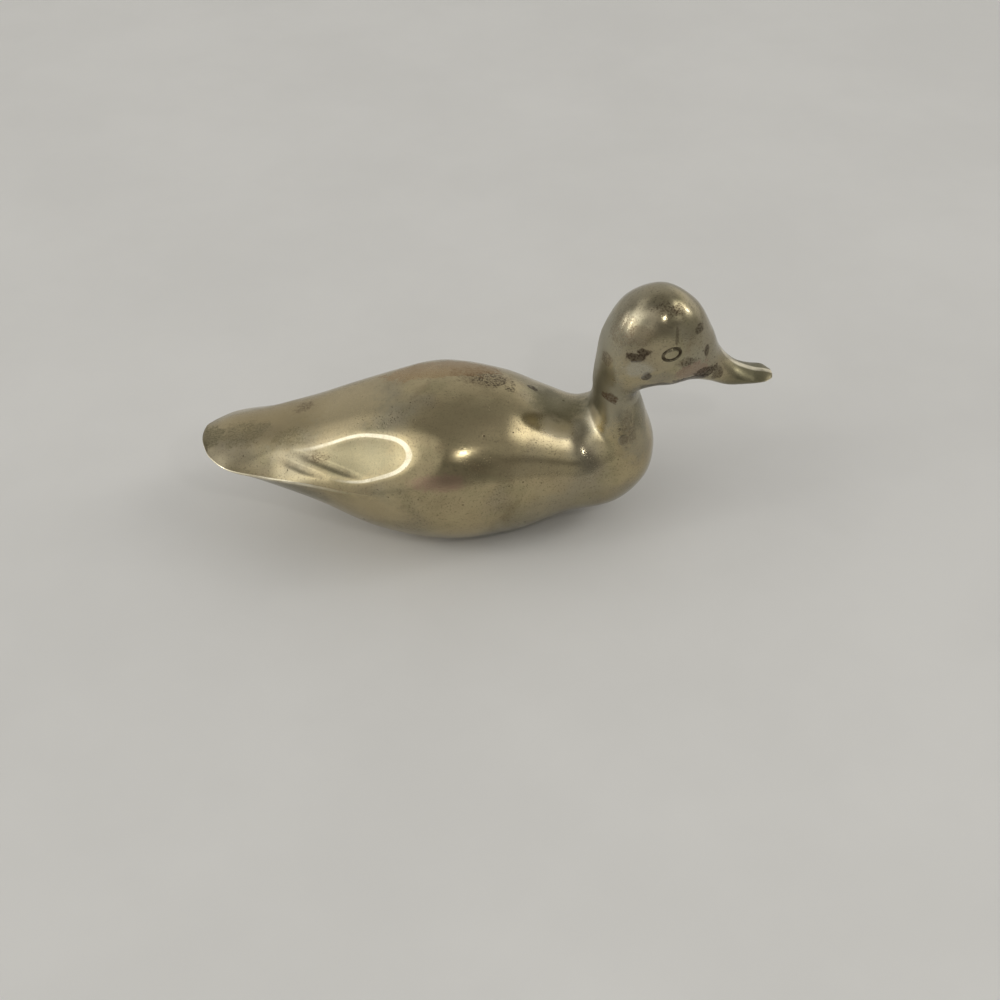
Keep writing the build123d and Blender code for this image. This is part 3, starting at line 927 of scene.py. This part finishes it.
# Paler brass for painted light on the cheek
PAINTED_CHEEK_LIGHT = (0.46, 0.44, 0.36, 1)
GREY_FILM = (0.26, 0.243, 0.19, 1)
SCOOP_FILM = (0.33, 0.3, 0.19, 1)
TAIL_FILM = (0.36, 0.285, 0.155, 1)
# Painted reflection colour, pink
PAINTED_PINK_REFLECTION = (0.42, 0.275, 0.2, 1)
# Lighter, warmer brass for painted light
PAINTED_LIGHT_HONEY = (0.51, 0.425, 0.26, 1)


def stain_and_painted_light(centre, reach, tint, strength, ragged=1.8, broken=0.5, dulling=0.15, edge=0.72):
    """One mark, for stains and for painted light and shade: its place and reach in millimetres, its colour
    and how much it dulls the polish.
    """
    return {
        "centre": centre,
        "reach": reach,
        "tint": tint,
        "strength": strength,
        "ragged": ragged,
        "broken": broken,
        "dulling": dulling,
        "edge": edge,
    }


def film_and_painted_light(centre, reach, tint, strength, ragged=0.8, broken=0.2, dulling=0.05):
    """One soft-edged mark, for thin films and for painted light and shade."""
    return stain_and_painted_light(centre, reach, tint, strength, ragged, broken, dulling, edge=0.45)


nape_film = film_and_painted_light((39.0, 0.0, 66.0), (12.0, 26.0, 32.0), PALE_FILM, 0.8, ragged=0.6, broken=0.1, dulling=0.24)
neck_film = film_and_painted_light((47.0, 0.0, 56.5), (20.0, 24.0, 16.0), NECK_FILM, 0.9, ragged=0.8, broken=0.1, dulling=0.08)
body_stains_and_painted_light = [
    nape_film,
    neck_film,
    # Painted light: lighter, warmer brass on the rear back, the rear lower flank and the upper near back,
    # where they look brighter
    film_and_painted_light((-48.0, -4.0, 50.0), (25.0, 15.0, 9.0), PAINTED_LIGHT_HONEY, 0.9, ragged=1.0, broken=0.2, dulling=0.03),
    film_and_painted_light((-38.0, -30.0, 26.5), (18.0, 9.0, 10.0), PAINTED_LIGHT_HONEY, 0.85, ragged=1.0, broken=0.2, dulling=0.03),
    film_and_painted_light((-5.0, -16.0, 54.5), (24.0, 10.0, 6.0), PAINTED_LIGHT_HONEY, 0.4, ragged=1.0, broken=0.2, dulling=0.02),
    film_and_painted_light((-46.0, -22.5, 42.8), (25.0, 9.0, 9.0), SCOOP_FILM, 0.8, ragged=0.9, broken=0.2, dulling=0.03),
    film_and_painted_light((-74.0, 2.0, 42.0), (32.0, 20.0, 10.0), TAIL_FILM, 0.6, ragged=1.0, broken=0.2, dulling=0.02),
    film_and_painted_light((54.0, -13.0, 42.0), (9.0, 9.0, 12.0), GREY_FILM, 0.6, ragged=1.2, broken=0.2, dulling=0.05),
    # Painted reflection: a pink tint on the near flank, where something pink is reflected
    film_and_painted_light((-16.0, -32.8, 39.8), (13.0, 5.0, 4.0), PAINTED_PINK_REFLECTION, 0.7, ragged=1.2, broken=0.2, dulling=0.04),
    # Painted highlights: lighter brass on the shoulder and at the neck root, where the room's glows are
    # reflected
    film_and_painted_light((25.5, -10.5, 45.8), (10.0, 6.0, 6.0), PAINTED_SHOULDER_GLOW, 0.5, ragged=0.6, broken=0.0, dulling=0.2),
    film_and_painted_light((38.5, -7.0, 48.3), (4.5, 6.5, 4.0), PAINTED_SHOULDER_GLOW, 0.8, ragged=0.6, broken=0.1, dulling=0.12),
    # Painted shade: darker olive on the back before the neck, where the neck is reflected
    film_and_painted_light((26.0, 1.0, 48.5), (16.0, 12.0, 8.0), OLIVE_STAIN_AND_SHADE, 0.9, ragged=0.8, broken=0.1, dulling=0.26),
    stain_and_painted_light((0.0, 5.0, 57.2), (13.0, 9.0, 6.0), BROWN_STAIN, 0.45, broken=0.6),
    stain_and_painted_light((2.6, 3.6, 57.0), (8.5, 5.5, 4.0), BLACK_STAIN_AND_SHADE, 0.7, ragged=3.0, broken=0.9),
    stain_and_painted_light((8.7, -0.4, 55.9), (3.6, 2.2, 3.0), BLACK_STAIN_AND_SHADE, 0.8, ragged=2.6, broken=0.9),
    stain_and_painted_light((17.5, 5.2, 51.4), (2.6, 1.6, 2.0), BLACK_STAIN_AND_SHADE, 0.9, ragged=1.6, broken=0.5),
    stain_and_painted_light((-16.0, 11.0, 56.0), (26.0, 9.0, 8.0), ORANGE_STAIN, 0.5, ragged=1.4, broken=0.3),
    stain_and_painted_light((-64.4, 4.4, 45.2), (4.5, 3.0, 3.0), BROWN_STAIN, 0.6, ragged=2.6, broken=0.7),
    stain_and_painted_light((-98.5, -1.5, 37.0), (6.0, 6.0, 5.0), OLIVE_STAIN_AND_SHADE, 0.75, ragged=1.8, broken=0.5),
    stain_and_painted_light((-86.0, -3.0, 39.0), (11.0, 7.0, 5.0), OLIVE_STAIN_AND_SHADE, 0.55, ragged=2.2, broken=0.7),
    stain_and_painted_light((-68.0, -9.5, 42.5), (9.0, 4.0, 4.0), OLIVE_STAIN_AND_SHADE, 0.4, ragged=2.4, broken=0.7),
    stain_and_painted_light((-58.0, -19.0, 40.6), (8.0, 2.6, 2.0), BROWN_STAIN, 0.6, ragged=2.8, broken=0.75, edge=0.4),
    # Darker olive under the tail
    film_and_painted_light((-68.0, -19.0, 26.5), (27.0, 10.0, 8.5), OLIVE_STAIN_AND_SHADE, 0.8, ragged=0.8, broken=0.2),
    stain_and_painted_light((50.5, -15.0, 50.0), (3.0, 4.0, 10.0), BROWN_STAIN, 0.4, ragged=3.0, broken=0.7),
    # Darker olive on the front of the neck, below the head
    film_and_painted_light((54.5, -7.0, 50.0), (7.0, 9.0, 10.0), OLIVE_STAIN_AND_SHADE, 0.65, ragged=1.0, broken=0.3),
]
head_stains_and_painted_light = [
    nape_film,
    neck_film,
    stain_and_painted_light((50.6, -14.0, 78.5), (3.9, 5.0, 2.0), BLACK_STAIN_AND_SHADE, 0.95, ragged=1.7, broken=0.25),
    stain_and_painted_light((53.8, -14.3, 80.6), (3.2, 5.0, 1.5), BLACK_STAIN_AND_SHADE, 0.95, ragged=1.9, broken=0.3),
    stain_and_painted_light((55.0, -14.0, 70.6), (2.0, 5.0, 2.6), BLACK_STAIN_AND_SHADE, 1.0, ragged=1.4, broken=0.15, dulling=0.08),
    stain_and_painted_light((43.0, -11.0, 58.8), (3.4, 5.0, 2.9), BROWN_STAIN, 0.95, ragged=2.2, broken=0.4),
    stain_and_painted_light((68.6, -13.4, 75.6), (4.8, 5.0, 2.5), BLACK_STAIN_AND_SHADE, 0.8, ragged=2.6, broken=0.5, edge=0.4),
    stain_and_painted_light((71.5, -11.5, 70.6), (8.0, 6.0, 4.4), ROSE_STAIN, 0.75, ragged=1.8, broken=0.2),
    stain_and_painted_light((76.0, -9.8, 68.4), (5.4, 6.0, 2.9), BLACK_STAIN_AND_SHADE, 0.92, ragged=2.2, broken=0.4, dulling=0.15),
    stain_and_painted_light((80.5, -7.5, 66.0), (2.4, 5.0, 3.2), BLACK_STAIN_AND_SHADE, 0.75, ragged=1.8, broken=0.4),
    stain_and_painted_light((72.5, -8.3, 85.9), (1.9, 4.0, 1.6), BLACK_STAIN_AND_SHADE, 0.85, ragged=1.4, broken=0.6),
    stain_and_painted_light((75.5, -9.2, 77.4), (1.1, 4.0, 2.3), BLACK_STAIN_AND_SHADE, 0.8, ragged=1.4, broken=0.4),
    stain_and_painted_light((64.4, -12.6, 85.8), (0.7, 4.0, 3.6), BLACK_STAIN_AND_SHADE, 0.55, ragged=1.0, broken=0.3),
    stain_and_painted_light((60.5, -8.5, 93.8), (5.0, 3.0, 2.4), BLACK_STAIN_AND_SHADE, 0.7, ragged=3.0, broken=0.8),
    stain_and_painted_light((65.0, -7.3, 93.1), (3.0, 2.6, 2.2), BLACK_STAIN_AND_SHADE, 0.8, ragged=2.2, broken=0.4),
    stain_and_painted_light((52.0, -12.0, 86.0), (6.0, 4.0, 4.0), BROWN_STAIN, 0.4, ragged=1.6, broken=0.2, dulling=0.1),
    # Painted light: paler, lighter brass at the back of the cheek
    film_and_painted_light((52.0, -14.5, 73.5), (6.5, 5.0, 4.5), PAINTED_CHEEK_LIGHT, 0.7, ragged=1.2, broken=0.2, dulling=0.08),
    film_and_painted_light((60.5, -13.5, 69.0), (7.0, 5.0, 4.0), GREY_FILM, 0.5, ragged=1.2, broken=0.2, dulling=0.05),
    # Painted shade: dark lines along the lower edge of the jaw
    stain_and_painted_light((60.0, -10.0, 63.4), (7.5, 5.0, 2.4), BLACK_STAIN_AND_SHADE, 0.95, ragged=1.4, broken=0.25),
    stain_and_painted_light((71.0, -9.6, 65.6), (8.0, 5.0, 2.4), BLACK_STAIN_AND_SHADE, 0.95, ragged=1.4, broken=0.25),
    stain_and_painted_light((41.7, -8.3, 74.0), (2.6, 4.0, 2.6), BROWN_STAIN, 0.6, ragged=1.8, broken=0.6),
    stain_and_painted_light((45.5, -8.0, 86.0), (7.0, 6.0, 7.0), BROWN_STAIN, 0.45, ragged=2.0, broken=0.8),
    # Painted shade: darker under the jaw and on the lower head
    film_and_painted_light((62.0, -8.0, 58.4), (17.0, 14.0, 3.2), BLACK_STAIN_AND_SHADE, 0.75, ragged=0.8, broken=0.3),
    film_and_painted_light((57.0, -8.0, 62.0), (14.0, 14.0, 6.0), OLIVE_STAIN_AND_SHADE, 0.4, ragged=0.8, broken=0.2),
    film_and_painted_light((91.0, 0.0, 60.5), (15.0, 12.0, 9.0), BILL_FILM, 0.92, ragged=0.5, broken=0.1, dulling=0.2),
]
plug_stains = [film_and_painted_light((48.5, -16.5, 44.4), (2.6, 2.6, 2.6), BROWN_STAIN, 0.45, ragged=0.6, broken=0.3)]
body_brass = brass_material(
    "body_brass", groups, greyness=-0.25, pitting=0.85, tarnish=0.5, stains_and_painted_light=body_stains_and_painted_light, grime_and_shade_share=0.4
)
head_brass = brass_material(
    "head_brass", groups, greyness=0.35, pitting=1.0, tarnish=0.6, stains_and_painted_light=head_stains_and_painted_light, grime_and_shade_share=1.0
)
plug_brass = brass_material("plug_brass", groups, greyness=0.5, pitting=1.0, tarnish=0.8, stains_and_painted_light=plug_stains)

right_half = half_shell("right_half_shell", "right_shell", -1, body_brass)
half_shell("left_half_shell", "left_shell", 1, body_brass)
body_seam_strip(body_brass)
head_casting(head_brass)
neck_seam_ring(head_brass)
plug_disc(right_half, plug_brass)


FLOOR_HALF_SIZE = 30.0
FLOOR_SHADES = ((0.725, 0.72, 0.705, 1), (0.76, 0.755, 0.74, 1))


def studio_floor():
    """Large plain pale floor."""
    bm = bmesh.new()
    bmesh.ops.create_grid(bm, x_segments=2, y_segments=2, size=FLOOR_HALF_SIZE)
    mesh = bpy.data.meshes.new("studio_floor")
    bm.to_mesh(mesh)
    bm.free()
    material = bpy.data.materials.new("pale_floor")
    material.use_nodes = True
    tree = material.node_tree
    shader = tree.nodes["Principled BSDF"]
    place = tree.nodes.new("ShaderNodeTexCoord").outputs["Object"]
    mottle = ranged(tree, noise(tree, place, scale=9.0, detail=4.0, rough=0.6), 0.3, 0.7)
    feed(tree, blended(tree, mottle, *FLOOR_SHADES), shader.inputs["Base Color"])
    shader.inputs["Roughness"].default_value = 0.7
    shader.inputs["Specular IOR Level"].default_value = 0.25
    mesh.materials.append(material)
    floor = bpy.data.objects.new("studio_floor", mesh)
    bpy.context.scene.collection.objects.link(floor)


def aimed(side_angle, height_angle):
    """Direction from the duck, by degrees from its right side towards the bill and degrees up."""
    across = math.radians(side_angle)
    up = math.radians(height_angle)
    return Vector((math.sin(across) * math.cos(up), -math.cos(across) * math.cos(up), math.sin(up)))


FRONT_WALL = (0.38, 0.375, 0.36, 1)
REAR_WALL = (0.575, 0.565, 0.545, 1)
CEILING = (0.28, 0.275, 0.26, 1)

# Lighter and darker patches of the room, in the order in which they lie over each other: side and
# height angle of the middle, half width and half height in degrees, share with no fading, shade.
# With a squareness of 2 they would be ellipses.
PATCH_SQUARENESS = 4.0
ROOM_PATCHES = [
    (-112, 52, 36, 16, 0.1, (0.8, 0.785, 0.75, 1)),
    (-32, 54, 42, 18, 0.1, (0.85, 0.835, 0.80, 1)),
    (-24, 26, 26, 36, 0.1, (0.66, 0.645, 0.615, 1)),
    (29, 25.5, 44, 7.5, 0.4, (0.21, 0.205, 0.195, 1)),
    (14, 26, 27, 28, 0.5, (0.24, 0.235, 0.225, 1)),
    (58, 33, 16, 9, 0.1, (0.62, 0.61, 0.58, 1)),
    (-72, 33, 40, 32, 0.1, (2.2, 2.16, 2.05, 1)),
    (-103, 17, 16, 18, 0.1, (1.4, 1.37, 1.3, 1)),
    (132, 15, 42, 25, 0.1, (0.87, 0.85, 0.81, 1)),
    (84, 45, 32, 12, 0.1, (2.5, 2.45, 2.33, 1)),
    (97, 33, 23, 14, 0.1, (2.0, 1.96, 1.86, 1)),
]


def room_light():
    """Soft grey room with window glows on both sides."""
    world = bpy.data.worlds.new("room")
    world.use_nodes = True
    tree = world.node_tree
    ground = tree.nodes["Background"]
    parts = tree.nodes.new("ShaderNodeSeparateXYZ")
    feed(tree, tree.nodes.new("ShaderNodeTexCoord").outputs["Generated"], parts.inputs[0])
    side = sums(tree, "ARCTAN2", parts.outputs[0], sums(tree, "MULTIPLY", parts.outputs[1], -1.0))
    height = sums(tree, "ARCSINE", parts.outputs[2], 0.0)

    def around(side_angle, height_angle, half_width, half_height, core):
        across = sums(tree, "SUBTRACT", side, math.radians(side_angle))
        across = sums(tree, "DIVIDE", across, math.radians(half_width))
        up = sums(tree, "SUBTRACT", height, math.radians(height_angle))
        up = sums(tree, "DIVIDE", up, math.radians(half_height))
        across = sums(tree, "POWER", across, PATCH_SQUARENESS)
        up = sums(tree, "POWER", up, PATCH_SQUARENESS)
        spread = sums(tree, "POWER", sums(tree, "ADD", across, up), 1 / PATCH_SQUARENESS)
        return ranged(tree, spread, core, 1.0, 1.0, 0.0)

    room = blended(tree, ranged(tree, parts.outputs[1], 0.2, 0.9), FRONT_WALL, REAR_WALL)
    room = blended(tree, ranged(tree, parts.outputs[2], 0.84, 0.99), room, CEILING)
    for side_angle, height_angle, half_width, half_height, core, shade in ROOM_PATCHES:
        patch = around(side_angle, height_angle, half_width, half_height, core)
        room = blended(tree, patch, room, shade)
    feed(tree, room, ground.inputs["Color"])
    bpy.context.scene.world = world


LAMP_TARGET = Vector((0.0, 0.0, 0.05))
LAMP_PLACE = (0.14, -0.36, 0.43)
LAMP_SIZE = 0.013
LAMP_RADIANCE = 270.0
LAMP_TINT = (1.0, 0.98, 0.93)
WINDOW_DISTANCE = 1.1
WINDOW_TINT = (1.0, 0.99, 0.96)

# Window lamps: name, side and height angle in degrees, width and height in metres, radiance
WINDOWS = [
    ("left_window", -74, 32, 0.07, 0.36, 5.5),
    ("left_pane", -100, 22, 0.06, 0.26, 5.0),
    ("right_window", 97, 33, 0.08, 0.24, 6.0),
]


def lamp(name, place, width, height, radiance, colour):
    """Area lamp aimed at the duck."""
    light = bpy.data.lights.new(name, "AREA")
    light.shape = "RECTANGLE"
    light.size = width
    light.size_y = height
    light.energy = radiance * math.pi * width * height
    light.color = colour
    holder = bpy.data.objects.new(name, light)
    holder.location = place
    holder.rotation_euler = (Vector(place) - LAMP_TARGET).to_track_quat("Z", "Y").to_euler()
    holder.visible_camera = False
    bpy.context.scene.collection.objects.link(holder)


studio_floor()
room_light()
lamp("ceiling_lamp", LAMP_PLACE, LAMP_SIZE, LAMP_SIZE, LAMP_RADIANCE, LAMP_TINT)
for name, side_angle, height_angle, width, height, radiance in WINDOWS:
    lamp(name, aimed(side_angle, height_angle) * WINDOW_DISTANCE, width, height, radiance, WINDOW_TINT)

FRAME_PIXELS = 1000.0
LENS_PIXELS = 1500.0
SENSOR_WIDTH = 36.0
CAMERA_TARGET = Vector((5.525, 0.0, 2.325)) * MM
CAMERA_DISTANCE = 0.565
CAMERA_SIDE = -1.38
CAMERA_HEIGHT = 42.0
camera_data = bpy.data.cameras.new("photo_camera")
camera_data.sensor_width = SENSOR_WIDTH
camera_data.lens = LENS_PIXELS / FRAME_PIXELS * SENSOR_WIDTH
camera = bpy.data.objects.new("photo_camera", camera_data)
camera_aim = aimed(CAMERA_SIDE, CAMERA_HEIGHT)
camera.location = CAMERA_TARGET + camera_aim * CAMERA_DISTANCE
camera.rotation_euler = camera_aim.to_track_quat("Z", "Y").to_euler()
bpy.context.scene.collection.objects.link(camera)
bpy.context.scene.camera = camera
bpy.context.scene.view_settings.view_transform = "Standard"
